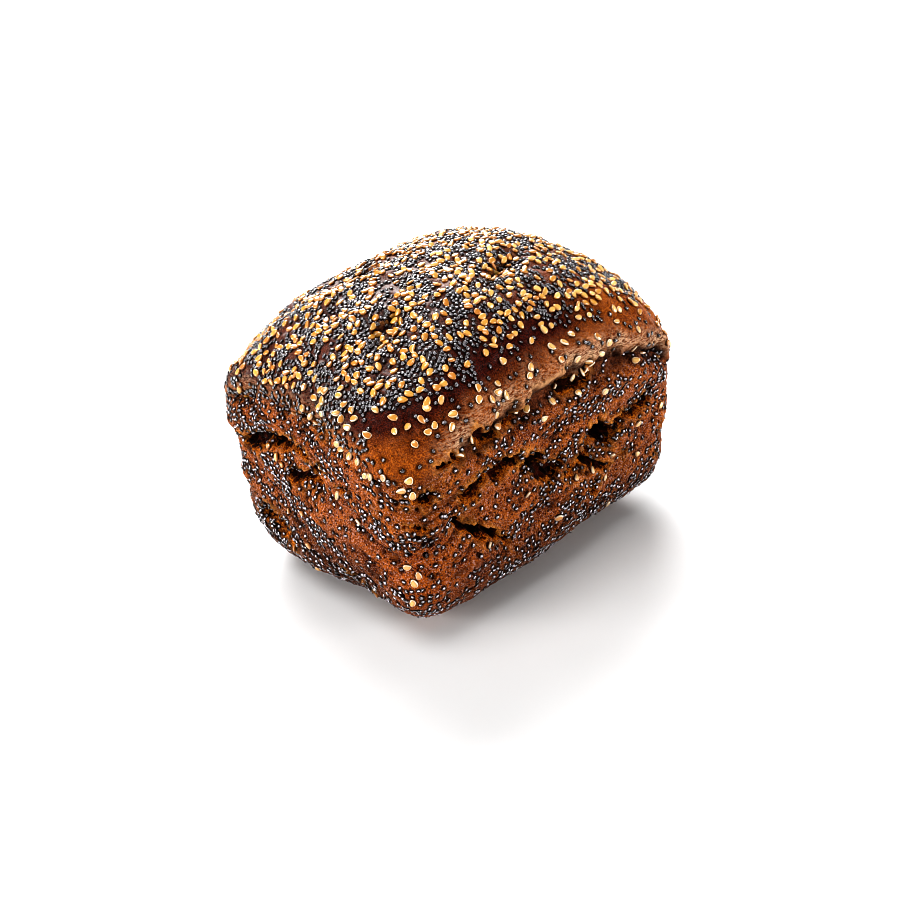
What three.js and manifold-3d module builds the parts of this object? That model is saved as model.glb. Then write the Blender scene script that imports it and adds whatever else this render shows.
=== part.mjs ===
// A small tin loaf of dark bread. Its crown rises out of square walls that the tin
// shaped, with a crease torn between them, and sesame seeds are baked onto the crust.
// One closed solid, in millimetres, +Z up, standing on its flat bottom at z = 0.
// The long sides face -Y and +Y.
import * as THREE from 'three';
import { MeshSurfaceSampler } from 'three/addons/math/MeshSurfaceSampler.js';
import { mergeVertices } from 'three/addons/utils/BufferGeometryUtils.js';
import Module from 'manifold-3d';

const wasm = await Module();
wasm.setup();

// Driving sizes of the loaf
const RIM_LENGTH = 128; // along X, at the crease
const RIM_WIDTH = 102; // along Y, at the crease
const LOAF_HEIGHT = 104; // to the top of the crown
const CREASE_HEIGHT = 59; // at the four upright corners
const BASE_TAPER_X = 1.5; // how much the base is drawn in at each end
const BASE_TAPER_Y = 4.4; // and at each long side
const BOTTOM_ROUND = 22; // radius where the walls turn into the bottom

// The crease arches up between the corners
const RISE_LONG = 13;
const RISE_SHORT = 10;
const LEAN_LONG = 0.38; // moves the arch of the -Y side towards +X
const LEAN_SHORT = 0.26; // moves the arch of the -X end towards +Y
const CREASE_FALL_X = 2.2; // the crease drops this much from the middle to +X
const CREASE_FALL_Y = 0.8;

// Squareness of the plan, as the power of a superellipse: 2 is an oval
const PLAN_BASE = 9.5;
const PLAN_RIM = 8.8;
const PLAN_TOP = 2.4;

// Section of the crown, as powers of a superellipse
const CROWN_SECTION_X = 2.86;
const CROWN_SECTION_Y = 2.36;
const CROWN_SECTION_Z = 1.4;
const TOP_SHIFT = [1, 3.9]; // the top lies a little off the middle
const TOP_TILT = [3.4, -1.8]; // rise of the crown towards +X and +Y

// Torn crease, with the wall below it and the crown above it standing proud
const CREASE_DEPTH = 4.2;
const CREASE_HALF_WIDTH = 3.2;
const LIP_BULGE = 1.3;
const LIP_OFFSET = 7;
const LIP_HALF_WIDTH = 4.5;

// Slow unevenness of the whole crust
const WAVE_HEIGHT = 0.7;
const WAVE_LENGTHS = [21, 17, 15];

// Mesh of the crust
const CELLS_X = 28;
const CELLS_Y = 22;
const CROWN_EDGE = 0.93; // share of the crown that the square grid covers
const RIM_STRIPS = [0.955, 0.975, 0.99, 1];
const WALL_STRIPS = [0.97, 0.92, 0.85, 0.76, 0.66, 0.56, 0.45, 0.34, 0.23, 0.12, 0];
const EDGE_STRIPS = [0.7, 0.35, 0];

// Sesame seeds that are large enough to show in the solid
const SEED_LENGTH = 3.4;
const SEED_WIDTH = 2.2;
const SEED_THICKNESS = 1.5;
const SEED_SIDES = 5;
const CROWN_SEEDS = 106;
const WALL_SEEDS = 14;
const SHOULDER_BARE = 9; // no seeds nearer to the crease than this
const BOTTOM_BARE = 8;
const SEED_TRIES = 24; // the emptiest of this many places takes the next seed

// Hollows of the crust where they are large: the face, the middle across and up the
// face, half the length and height, the turn in degrees, and the depth. On the top face
// the two directions are X and Y.
const HOLLOWS = [
  { face: '-Y', at: [22, 44], half: [8.5, 5.5], turn: 8, depth: 6 },
  { face: '-Y', at: [36, 45.5], half: [9, 3.5], turn: 12, depth: 3.5 },
  { face: '-Y', at: [-34, 54.5], half: [11, 4], turn: 8, depth: 4.5 },
  { face: '-Y', at: [-13, 48], half: [6, 4.5], turn: -40, depth: 3.5 },
  { face: '-Y', at: [-2, 42], half: [5.5, 5.5], turn: 0, depth: 3.5 },
  { face: '-Y', at: [12, 37], half: [9, 4], turn: 0, depth: 3.5 },
  { face: '-Y', at: [-43, 42], half: [7.5, 4], turn: -50, depth: 4 },
  { face: '-Y', at: [-30, 31], half: [11, 3.5], turn: -35, depth: 3.5 },
  { face: '-Y', at: [-55, 57], half: [5.5, 4.5], turn: 0, depth: 3 },
  { face: '-X', at: [20, 55], half: [18, 4], turn: -17, depth: 3.5 },
  { face: '-X', at: [-4, 49], half: [11, 5], turn: -22, depth: 4.5 },
  { face: '-X', at: [20.5, 22], half: [7, 5], turn: 28, depth: 6 },
  { face: '-X', at: [-13, 12], half: [10, 7], turn: 0, depth: 4 },
  { face: '+Y', at: [-30, 46], half: [11, 4.5], turn: 12, depth: 4.5 },
  { face: '+Y', at: [8, 33], half: [8, 5], turn: -20, depth: 5 },
  { face: '+Y', at: [34, 52], half: [10, 4], turn: 6, depth: 3.5 },
  { face: '+X', at: [-16, 50], half: [9, 4.5], turn: 15, depth: 4 },
  { face: '+X', at: [14, 34], half: [10, 4.5], turn: -25, depth: 4.5 },
  { face: '+Z', at: [-38, -15], half: [7.5, 5], turn: 20, depth: 3.2 },
  { face: '+Z', at: [-46, -24], half: [6, 4.5], turn: 0, depth: 2.6 },
  { face: '+Z', at: [9, -19], half: [9, 4.5], turn: 15, depth: 2.6 },
  { face: '+Z', at: [-20, 22], half: [8, 5], turn: -30, depth: 2.4 },
  { face: '+Z', at: [34, 17], half: [9, 5], turn: 40, depth: 2.2 },
];

// For each face: its outward direction and the two directions across it
const FACES = {
  '-Y': [new THREE.Vector3(0, -1, 0), 'x', 'z'],
  '+Y': [new THREE.Vector3(0, 1, 0), 'x', 'z'],
  '-X': [new THREE.Vector3(-1, 0, 0), 'y', 'z'],
  '+X': [new THREE.Vector3(1, 0, 0), 'y', 'z'],
  '+Z': [new THREE.Vector3(0, 0, 1), 'x', 'y'],
};

const smoothstep = THREE.MathUtils.smoothstep;
const lerp = THREE.MathUtils.lerp;
const bell = (x) => Math.exp(-x * x);

// A place on the crust is a point of the ring round the loaf, from 0 to 8, and a level:
// 0 to 1 is the bottom's rounded edge, 1 to 2 the wall and 2 to 3 the crown.
function ringPoint(ring) {
  const place = ((ring % 8) + 8) % 8;
  const side = Math.floor(place / 2);
  const along = place - 2 * side - 1;
  return [[1, along], [-along, 1], [-1, -along], [along, -1]][side];
}

function ringOf(u, v) {
  const reach = Math.max(Math.abs(u), Math.abs(v));
  if (u >= reach) return 1 + v / reach;
  if (v >= reach) return 3 - u / reach;
  if (-u >= reach) return 5 - v / reach;
  return 7 + u / reach;
}

function roundedSquare(u, v, power) {
  const shrink = (Math.abs(u) ** power + Math.abs(v) ** power) ** (-1 / power);
  return [u * shrink, v * shrink];
}

function creaseHeight(u, v) {
  const leanShort = 1 + LEAN_SHORT * v * (1 - u) / 2;
  const leanLong = 1 + LEAN_LONG * u * (1 - v) / 2;
  const arch = RISE_LONG * (1 - u * u) * leanLong + RISE_SHORT * (1 - v * v) * leanShort;
  return CREASE_HEIGHT + arch - CREASE_FALL_X * u - CREASE_FALL_Y * v;
}

// Wall at a height, drawn in further by the inset near the bottom
function wallPoint(u, v, z, inset) {
  const up = z / creaseHeight(u, v);
  const [across, along] = roundedSquare(u, v, lerp(PLAN_BASE, PLAN_RIM, up));
  const halfLength = RIM_LENGTH / 2 - BASE_TAPER_X * (1 - up) - inset;
  const halfWidth = RIM_WIDTH / 2 - BASE_TAPER_Y * (1 - up) - inset;
  return new THREE.Vector3(halfLength * across, halfWidth * along, z);
}

// Crown at a share of the way from the top, 0, to the crease, 1
function crownPoint(u, v, share) {
  const spread = (1 - (1 - share) ** 1.4) ** 1.3;
  const rise = (1 - spread * spread) ** (1 / CROWN_SECTION_Z);
  const [across, along] = roundedSquare(u, v, lerp(PLAN_RIM, PLAN_TOP, rise));
  const x = RIM_LENGTH / 2 * spread ** (2 / CROWN_SECTION_X) * across;
  const y = RIM_WIDTH / 2 * spread ** (2 / CROWN_SECTION_Y) * along;
  const tilt = TOP_TILT[0] * x / RIM_LENGTH * 2 + TOP_TILT[1] * y / RIM_WIDTH * 2;
  const z = lerp(creaseHeight(u, v), LOAF_HEIGHT, rise) + rise * tilt;
  return new THREE.Vector3(x + TOP_SHIFT[0] * rise, y + TOP_SHIFT[1] * rise, z);
}

function smoothPoint(ring, level) {
  const [u, v] = ringPoint(ring);
  if (level > 2) return crownPoint(u, v, 3 - level);
  if (level > 1) return wallPoint(u, v, lerp(BOTTOM_ROUND, creaseHeight(u, v), level - 1), 0);
  const angle = level * Math.PI / 2;
  const inset = BOTTOM_ROUND * (1 - Math.sin(angle));
  return wallPoint(u, v, BOTTOM_ROUND * (1 - Math.cos(angle)), inset);
}

function smoothNormal(ring, level) {
  const step = 0.01;
  const low = Math.max(level - step, 0);
  const high = Math.min(level + step, 3);
  if (high === 3) return new THREE.Vector3(0, 0, 1);
  const along = smoothPoint(ring + step, level).sub(smoothPoint(ring - step, level));
  const up = smoothPoint(ring, high).sub(smoothPoint(ring, low));
  return along.cross(up).normalize();
}

// How far the crease is open, from 0 to 1. It is shut at the -X -Y corner, where the
// crown's skin runs down into the wall.
function creaseOpening(u, v) {
  if (v === -1) return smoothstep(u, -0.95, -0.6) * (1 - smoothstep(u, 0.85, 1));
  if (u === -1) return smoothstep(v, -0.8, -0.3) * (1 - smoothstep(v, 0.8, 1));
  return 0.8 * (1 - (u * v) ** 6);
}

function creaseRelief(point, u, v) {
  const above = point.z - creaseHeight(u, v);
  const cut = CREASE_DEPTH * bell(above / CREASE_HALF_WIDTH);
  const lips = LIP_BULGE * (bell((above - LIP_OFFSET) / LIP_HALF_WIDTH)
    + bell((above + LIP_OFFSET) / LIP_HALF_WIDTH));
  return creaseOpening(u, v) * (lips - cut);
}

function hollowRelief(point, normal) {
  let relief = 0;
  for (const { face, at, half, turn, depth } of HOLLOWS) {
    const [outward, across, up] = FACES[face];
    const facing = smoothstep(normal.dot(outward), 0.2, 0.6);
    const angle = THREE.MathUtils.degToRad(turn);
    const x = point[across] - at[0];
    const y = point[up] - at[1];
    const along = (x * Math.cos(angle) + y * Math.sin(angle)) / half[0];
    const beside = (y * Math.cos(angle) - x * Math.sin(angle)) / half[1];
    relief -= depth * facing * bell(Math.hypot(along, beside) ** 2);
  }
  return relief;
}

function waveRelief(point) {
  const [long, middle, short] = WAVE_LENGTHS;
  const slow = Math.sin(point.x / long + 1) * Math.sin(point.y / middle + 2);
  const quick = Math.sin(point.x / short - point.z / middle) * Math.sin(point.y / short + 1);
  return WAVE_HEIGHT * (slow + quick + Math.sin(point.z / long + point.y / middle));
}

// The crust itself; the relief fades out towards the flat bottom
function crustPoint(ring, level) {
  const [u, v] = ringPoint(ring);
  const point = smoothPoint(ring, level);
  const normal = smoothNormal(ring, level);
  const relief = creaseRelief(point, u, v) + hollowRelief(point, normal) + waveRelief(point);
  return point.addScaledVector(normal, relief * smoothstep(level, 0, 0.6));
}

function pushTriangle(corners, a, b, c) {
  corners.push(a.x, a.y, a.z, b.x, b.y, b.z, c.x, c.y, c.z);
}

// A cell takes the diagonal that bends the crust less
function pushCell(corners, a, b, c, d) {
  if (a.distanceTo(c) < b.distanceTo(d)) {
    pushTriangle(corners, a, b, c);
    pushTriangle(corners, a, c, d);
  } else {
    pushTriangle(corners, a, b, d);
    pushTriangle(corners, b, c, d);
  }
}

function crownGrid() {
  const grid = [];
  for (let i = 0; i <= CELLS_X; i += 1) {
    const column = [];
    for (let j = 0; j <= CELLS_Y; j += 1) {
      const u = 2 * i / CELLS_X - 1;
      const v = 2 * j / CELLS_Y - 1;
      const share = CROWN_EDGE * Math.max(Math.abs(u), Math.abs(v));
      column.push(crustPoint(share > 0 ? ringOf(u, v) : 0, 3 - share));
    }
    grid.push(column);
  }
  return grid;
}

// Places round the ring that meet the outer points of the crown's grid
function ringPlaces() {
  const places = [];
  for (let j = 0; j < CELLS_Y; j += 1) places.push(2 * j / CELLS_Y);
  for (let i = 0; i < CELLS_X; i += 1) places.push(2 + 2 * i / CELLS_X);
  for (let j = 0; j < CELLS_Y; j += 1) places.push(4 + 2 * j / CELLS_Y);
  for (let i = 0; i < CELLS_X; i += 1) places.push(6 + 2 * i / CELLS_X);
  return places;
}

function crustGeometry() {
  const corners = [];
  const grid = crownGrid();
  for (let i = 0; i < CELLS_X; i += 1) {
    for (let j = 0; j < CELLS_Y; j += 1) {
      pushCell(corners, grid[i][j], grid[i + 1][j], grid[i + 1][j + 1], grid[i][j + 1]);
    }
  }
  const levels = [3 - CROWN_EDGE];
  RIM_STRIPS.forEach((share) => levels.push(3 - share));
  WALL_STRIPS.forEach((up) => levels.push(1 + up));
  EDGE_STRIPS.forEach((turn) => levels.push(turn));
  const rows = levels.map((level) => ringPlaces().map((ring) => crustPoint(ring, level)));
  const count = rows[0].length;
  for (let k = 0; k + 1 < rows.length; k += 1) {
    for (let i = 0; i < count; i += 1) {
      const next = (i + 1) % count;
      pushCell(corners, rows[k][i], rows[k + 1][i], rows[k + 1][next], rows[k][next]);
    }
  }
  const bottom = rows[rows.length - 1];
  const middle = new THREE.Vector3(0, 0, 0);
  bottom.forEach((point, i) => pushTriangle(corners, middle, bottom[(i + 1) % count], point));
  const geometry = new THREE.BufferGeometry();
  geometry.setAttribute('position', new THREE.Float32BufferAttribute(corners, 3));
  return geometry;
}

// Random numbers from 0 to 1 that are the same in every run
function seededRandom(seed) {
  let state = seed;
  return () => {
    state = (Math.imul(state, 1664525) + 1013904223) >>> 0;
    return state / 4294967296;
  };
}

// A sesame seed along Y: one end pointed, the other blunt, flat side up along Z
function seedGeometry() {
  const profile = [[0, -0.5], [0.62, -0.26], [1, 0.08], [0.72, 0.38], [0, 0.5]];
  const points = profile.map(([wide, along]) => new THREE.Vector2(wide, along * SEED_LENGTH));
  const geometry = new THREE.LatheGeometry(points, SEED_SIDES);
  return geometry.scale(SEED_WIDTH / 2, 1, SEED_THICKNESS / 2);
}

// Height of a place above the crease, on the way out from the loaf's middle
function heightAboveCrease(point) {
  const u = point.x / RIM_LENGTH * 2;
  const v = point.y / RIM_WIDTH * 2;
  const reach = Math.max(Math.abs(u), Math.abs(v), 0.01);
  return point.z - creaseHeight(u / reach, v / reach);
}

const onCrown = (point) => heightAboveCrease(point) > SHOULDER_BARE;
const onWall = (point) => heightAboveCrease(point) < -SHOULDER_BARE && point.z > BOTTOM_BARE;

function randomPlace(sampler, wanted) {
  const point = new THREE.Vector3();
  const normal = new THREE.Vector3();
  do sampler.sample(point, normal);
  while (!wanted(point));
  return { point, normal };
}

// Each seed takes, of several random places, the one farthest from the seeds before it
function addSeedPlaces(places, sampler, count, wanted) {
  for (let n = 0; n < count; n += 1) {
    let best = { gap: -1 };
    for (let k = 0; k < SEED_TRIES; k += 1) {
      const { point, normal } = randomPlace(sampler, wanted);
      const gap = Math.min(Infinity, ...places.map((other) => other.point.distanceTo(point)));
      if (gap > best.gap) best = { point, normal, gap };
    }
    places.push(best);
  }
}

function placedSeed(random, { point, normal }) {
  const upright = new THREE.Vector3(0, 0, 1);
  const lay = new THREE.Quaternion().setFromUnitVectors(upright, normal);
  const spin = new THREE.Quaternion().setFromAxisAngle(upright, 2 * Math.PI * random());
  const size = 0.9 + 0.2 * random();
  const place = new THREE.Matrix4().compose(
    point, lay.multiply(spin), new THREE.Vector3(size, size, size));
  return seedGeometry().applyMatrix4(place);
}

function solidOf(geometry) {
  geometry.deleteAttribute('normal');
  geometry.deleteAttribute('uv');
  const merged = mergeVertices(geometry, 1e-4);
  const vertProperties = new Float32Array(merged.attributes.position.array);
  const triVerts = new Uint32Array(merged.index.array);
  return new wasm.Manifold(new wasm.Mesh({ numProp: 3, vertProperties, triVerts }));
}

function geometryOf(solid) {
  const mesh = solid.getMesh();
  const geometry = new THREE.BufferGeometry();
  geometry.setAttribute('position', new THREE.BufferAttribute(mesh.vertProperties, 3));
  geometry.setIndex(new THREE.BufferAttribute(mesh.triVerts, 1));
  return geometry;
}

function makeLoaf() {
  const random = seededRandom(41);
  const crustMesh = new THREE.Mesh(crustGeometry());
  const sampler = new MeshSurfaceSampler(crustMesh).setRandomGenerator(random).build();
  const places = [];
  addSeedPlaces(places, sampler, CROWN_SEEDS, onCrown);
  addSeedPlaces(places, sampler, WALL_SEEDS, onWall);
  let solid = solidOf(crustMesh.geometry);
  for (const place of places) {
    solid = solid.add(solidOf(placedSeed(random, place)));
  }
  const geometry = geometryOf(solid);
  geometry.computeBoundingBox();
  const middle = geometry.boundingBox.getCenter(new THREE.Vector3());
  geometry.translate(-middle.x, -middle.y, 0);
  geometry.computeVertexNormals();
  const crust = new THREE.MeshStandardMaterial({ color: 0x70351a, roughness: 0.7, metalness: 0 });
  const loaf = new THREE.Mesh(geometry, crust);
  loaf.name = 'loaf';
  return loaf;
}

const bread = new THREE.Group();
bread.add(makeLoaf());

export default bread;
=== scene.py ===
"""A small dark tin loaf crusted with sesame and chia seeds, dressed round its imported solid.

The crust is worked out in millimetres from the same sizes as the solid and then scaled to metres.
A place on it is given by two numbers: its place round the loaf, and its level up the loaf.
"""
import math
from dataclasses import dataclass
import bpy
import numpy as np
from mathutils import Matrix, Vector
from mathutils.kdtree import KDTree


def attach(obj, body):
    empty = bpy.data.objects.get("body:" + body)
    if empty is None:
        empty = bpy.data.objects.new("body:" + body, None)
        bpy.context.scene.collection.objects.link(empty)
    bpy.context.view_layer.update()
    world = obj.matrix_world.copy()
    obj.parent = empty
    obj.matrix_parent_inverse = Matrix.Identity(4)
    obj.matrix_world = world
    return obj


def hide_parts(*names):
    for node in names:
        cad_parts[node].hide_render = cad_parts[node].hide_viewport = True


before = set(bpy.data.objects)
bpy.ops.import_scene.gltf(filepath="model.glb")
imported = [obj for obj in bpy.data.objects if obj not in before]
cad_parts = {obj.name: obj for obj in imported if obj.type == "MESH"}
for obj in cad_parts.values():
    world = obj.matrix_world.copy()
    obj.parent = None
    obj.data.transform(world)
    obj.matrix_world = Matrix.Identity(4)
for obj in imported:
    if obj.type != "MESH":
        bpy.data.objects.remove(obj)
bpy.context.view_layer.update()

MM = 0.001

# Driving sizes of the loaf, in millimetres
RIM_LENGTH = 128.0
RIM_WIDTH = 102.0
LOAF_HEIGHT = 104.0
BASE_TAPER_X = 1.5
BASE_TAPER_Y = 4.4
BOTTOM_ROUND = 22.0

# The crease between wall and crown: height at the corners, arches, and how they lean and fall
CREASE_HEIGHT = 59.0
RISE_LONG = 13.0
RISE_SHORT = 10.0
LEAN_LONG = 0.38
LEAN_SHORT = 0.26
CREASE_FALL_X = 2.2
CREASE_FALL_Y = 0.8
CREASE_DEPTH = 4.2

# How square the plan is at the base, the rim and the top: the power of a rounded square
PLAN_BASE = 9.5
PLAN_RIM = 8.8
PLAN_TOP = 2.4

# Powers of the crown's curves, and how far its top is shifted and tilted
CROWN_SECTION_X = 2.86
CROWN_SECTION_Y = 2.36
CROWN_SECTION_Z = 1.4
SPREAD_AT_RIM = 1.4
SPREAD_AT_TOP = 1.3
TOP_SHIFT = (1.0, 3.9)
TOP_TILT = (3.4, -1.8)

# Slow waves of the whole crust
WAVE_HEIGHT = 0.7
WAVE_LENGTHS = (21.0, 17.0, 15.0)

# The dough on the walls is drawn upwards away from the near corner at this slope
FLOW_SLOPE = 0.34

# Fine mesh of the crust: cells of the crown, and rows of its rim, the wall and the bottom's edge
CELLS_X = 264
CELLS_Y = 208
CROWN_EDGE = 0.93
RIM_ROWS = 14
WALL_ROWS = 104
EDGE_ROWS = 44

# Levels up the loaf: the flat bottom, the foot of the wall, the crease, the crown's top
BOTTOM_LEVEL = 0
WALL_LEVEL = 1
CREASE_LEVEL = 2
TOP_LEVEL = 3

# Sides of the loaf, in the order in which places run round it from 0 to 8
PLUS_X, PLUS_Y, MINUS_X, MINUS_Y = range(4)
PLACES_ROUND = 8

# For each face: its outward direction, and which coordinates run across and up it
FACES = {
    "-Y": ((0, -1, 0), 0, 2),
    "+Y": ((0, 1, 0), 0, 2),
    "-X": ((-1, 0, 0), 1, 2),
    "+X": ((1, 0, 0), 1, 2),
    "+Z": ((0, 0, 1), 0, 1),
}

# Hollows of each face: middle across and up the face, half sizes, turn in degrees, depth
HOLLOWS = {"-Y": [
    ((22, 44), (8.5, 5.5), 8, 6.0),
    ((36, 45.5), (9, 3.5), 12, 3.5),
    ((-34, 54.5), (11, 4), 8, 4.5),
    ((-13, 48), (6, 4.5), -40, 3.5),
    ((-2, 42), (5.5, 5.5), 0, 3.5),
    ((12, 37), (9, 4), 0, 3.5),
    ((-43, 42), (7.5, 4), -50, 4.0),
    ((-30, 31), (11, 3.5), -35, 3.5),
    ((-55, 57), (5.5, 4.5), 0, 3.0),
], "-X": [
    ((20, 55), (18, 4), -17, 3.5),
    ((-4, 49), (11, 5), -22, 4.5),
    ((20.5, 22), (7, 5), 28, 6.0),
    ((-13, 12), (10, 7), 0, 4.0),
], "+Y": [
    ((-30, 46), (11, 4.5), 12, 4.5),
    ((8, 33), (8, 5), -20, 5.0),
    ((34, 52), (10, 4), 6, 3.5),
], "+X": [
    ((-16, 50), (9, 4.5), 15, 4.0),
    ((14, 34), (10, 4.5), -25, 4.5),
], "+Z": [
    ((-38, -15), (7.5, 5), 20, 3.2),
    ((-46, -24), (6, 4.5), 0, 2.6),
    ((9, -19), (9, 4.5), 15, 2.6),
    ((-20, 22), (8, 5), -30, 2.4),
    ((34, 17), (9, 5), 40, 2.2),
]}
WALL_HOLLOW_SHARE = 0.6

# Ragged tears and single pores of each face: points along the upper edge, half width, depth
TEARS = {"-Y": [
    ([(-42.5, 53.5), (-39, 55)], 2.5, 5.5),
    ([(-41, 54), (-36, 55.5), (-31, 55), (-27, 55), (-23.5, 56), (-20.5, 55.5)], 2.7, 5.5),
    ([(-16.5, 50.5), (-14, 51.5), (-9.5, 49.5)], 2.3, 4.8),
    ([(-9, 45.5), (-4, 43.5), (0, 45)], 2.2, 4.5),
    ([(-1, 41), (-4, 37.5), (-6.5, 35)], 1.6, 3.8),
    ([(7, 38.5), (11, 40), (14, 40.5)], 2.8, 5.0),
    ([(15, 37.5), (20, 34.5), (24.5, 31.5)], 1.5, 4.0),
    ([(16, 48.5), (20.5, 48), (26, 44)], 3.4, 6.5),
    ([(26.5, 45), (32, 47), (39.5, 48.5), (43, 49.5)], 2.6, 4.4),
    ([(-44.5, 45), (-41.4, 41), (-36.8, 37), (-30.8, 32)], 1.8, 4.4),
    ([(-30, 31), (-22.7, 26)], 1.3, 3.2),
    ([(-57, 58.8), (-53.5, 57.3)], 2.1, 4.8),
    ([(-59, 49), (-54.5, 47)], 0.9, 2.0),
    ([(32, 33)], 1.6, 4.8),
    ([(18.4, 26)], 1.6, 4.5),
    ([(50.7, 24)], 1.5, 3.2),
    ([(54.9, 36)], 1.5, 3.2),
    ([(-49, 67.5), (-44, 66)], 1.8, 4.0),
    ([(-35, 69.5), (-31, 67.5)], 2.0, 3.6),
    ([(-23, 68.5), (-19, 70)], 1.7, 4.0),
    ([(3, 70.5), (9, 71), (14, 70.5)], 1.8, 4.5),
], "-X": [
    ([(-3, 72.5), (-7, 72.5), (-11, 72)], 2.0, 4.5),
    ([(35, 52), (27, 55.5), (18, 58), (8, 59.5), (1, 59.5)], 2.4, 4.2),
    ([(9, 48.5), (3, 48.5), (-1, 50)], 2.2, 4.5),
    ([(-3, 55.5), (-8, 55.5)], 1.7, 4.0),
    ([(-16, 52), (-23, 53)], 0.9, 2.4),
    ([(28, 26), (22, 24.5), (17.5, 21.5)], 3.0, 7.0),
    ([(-14, 16), (-19, 12.5)], 2.6, 4.2),
], "+Y": [
    ([(-42, 44), (-33, 47), (-24, 48), (-19, 51)], 2.2, 4.8),
    ([(2, 37), (8, 35), (15, 32)], 2.8, 6.0),
    ([(27, 52), (34, 53), (43, 55)], 2.0, 4.2),
    ([(-12, 27)], 1.6, 4.0),
    ([(-40, 24), (-34, 22)], 1.4, 3.5),
], "+X": [
    ([(-26, 48), (-16, 51), (-7, 55)], 2.3, 5.0),
    ([(7, 38), (14, 35.5), (22, 32)], 2.2, 5.0),
    ([(-30, 28)], 1.6, 4.0),
], "+Z": [
    ([(-40, -10), (-36.5, -12.3), (-32.5, -12.4)], 1.4, 1.5),
    ([(2, -21), (9, -18), (17, -16)], 1.4, 2.4),
    ([(-25, 24), (-19, 22), (-13, 17)], 1.3, 2.0),
    ([(29, 14), (36, 20)], 1.4, 2.2),
]}

# A pore's line is this long. A tear this deep is painted darkest at its floor as shade, and its rim,
# painted light as highlight, is a band round it.
PORE_LENGTH = 0.1
DEEP_TEAR = 4.0
TEAR_EDGE = (1.3, 0.3)
# Bubbles on the floor of the tears, and open pores of the walls
TEAR_BUBBLES = (2.6, 51)
WALL_PORES = (3.0, 81)

# Bands along the crease: how far above it their middle is, and their reach
LOWER_LIP = (-7.0, 4.5)
UPPER_LIP = (7.0, 4.5)
FIBRE_BAND = (-2.0, 6.0)
SHADOW_BAND = (1.2, 1.6)
FLOURY_BAND = (3.8, 4.2)
PALE_EDGE_BAND = (3.6, 0.7)
DROOP_BAND = (2.8, 2.4)
STRETCHED_BAND = (5.0, 5.0)
CORNER_BAND = (-6.0, 16.0)

# The groove in the crease: its reach up and down, its depth beside the solid's, and the lips' height
GROOVE_ABOVE = 2.3
GROOVE_BELOW = 3.4
GROOVE_DEEPER = 1.45
TORN_ABOVE = 3.0
GAP_SHARE = 0.65
LIP_BULGE = 1.3
EDGE_BULGE = 0.6
# It is a broad torn shelf in the middle of the near long side: where, and how much broader and deeper
SHELF_ALONG = (4.0, 26.0)
SHELF_REACH = 3.4
SHELF_DEPTH = 0.1
PALE_EDGE_ALONG = (-3.0, 14.0)
# It is shallower, less shaded and less floury on the near end
END_GAP = 0.6
END_SHADE = 0.25
END_FLOUR = 0.4

# Stretches of the noise, so that its lumps are drawn out up the loaf or along it
DRAWN_UP = (1, 1, 0.5)
DRAWN_ALONG = (0.5, 1, 1)
FINE_DRAWN_ALONG = (0.3, 0.3, 1)

# Whole numbers that mix a cell's coordinates into a random number
HASH_FACTORS = (374761393, 668265263, 3266489917)
HASH_SALT = 2246822519
HASH_RANGE = 2 ** 32


def ramp(x, low, high):
    """Runs smoothly from 0 at low to 1 at high, which may also be the smaller of the two."""
    t = np.clip((x - low) / (high - low), 0, 1)
    return t * t * (3 - 2 * t)


def bell(x):
    return np.exp(-x * x)


def bell_at(x, band):
    """A bell over a band that is given by its middle and reach."""
    middle, reach = band
    return bell((x - middle) / reach)


def cell_random(cells, salt):
    """A random number from 0 to 1 for each whole-number cell, the same in every run."""
    first, second, third = (np.uint32(factor) for factor in HASH_FACTORS)
    c = cells.astype(np.int64).astype(np.uint32)
    h = c[:, 0] * first + c[:, 1] * second
    h = h + c[:, 2] * third + np.uint32(salt * HASH_SALT % HASH_RANGE)
    h = (h ^ (h >> np.uint32(15))) * np.uint32(HASH_SALT)
    h = (h ^ (h >> np.uint32(13))) * third
    return (h ^ (h >> np.uint32(16))) / float(HASH_RANGE)


def noise(points, size, salt):
    """Smooth noise from -1 to 1, with lumps of about the given size. The salt picks one of many."""
    p = points / size
    cell = np.floor(p)
    f = p - cell
    f = f * f * (3 - 2 * f)
    total = np.zeros(len(points))
    for corner in np.ndindex(2, 2, 2):
        weight = np.prod(np.where(corner, f, 1 - f), axis=1)
        total += weight * cell_random(cell + corner, salt)
    return 2 * total - 1


@dataclass
class Noise:
    """One kind of noise: its lumps' size, its salt, its height, and how many sizes are added up."""

    size: float
    salt: int
    height: float = 1.0
    octaves: int = 1

    def at(self, points):
        total = np.zeros(len(points))
        for k in range(self.octaves):
            total += noise(points, self.size / 2 ** k, self.salt + k) / 2 ** k
        return self.height * total

    def directions(self, points):
        """Three noises side by side, without the height."""
        return np.stack([noise(points, self.size, self.salt + k) for k in range(3)], 1)


# Noises of the crust's form, in millimetres
CROWN_BORDER = Noise(4.0, 3, 1.5)
RAGGED = Noise(5.5, 11, 1.5, 2)
RAGGED_FINE = Noise(1.6, 14, 0.7)
GAP_DEPTH = Noise(8.0, 15, 0.5)
FLOURY_PATCHES = Noise(6.0, 17)
FIBRES = Noise(2.4, 21, 1.2, 3)
TEAR_SHAKE = Noise(4.5, 31, 1.3)
TEAR_FINE_SHAKE = Noise(1.5, 41, 1.1)
TEAR_WIDTH = Noise(2.8, 47, 0.45)
LUMPS = Noise(4.0, 61, 0.4, 3)
SMALL_LUMPS = Noise(1.5, 71, 0.26, 2)
BROAD_BANDS = Noise(9.0, 77, 0.9)
STREAKS = Noise(1.3, 91)
STREAK_PATCHES = Noise(9.0, 95)
WRINKLES = Noise(8.0, 101, 0.8, 2)
FINE_WRINKLES = Noise(2.4, 111, 0.28, 2)
STRETCH_MARKS = Noise(0.9, 121)
LEFT_SHADE_BORDER = Noise(12.0, 131, 6.0)

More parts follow.
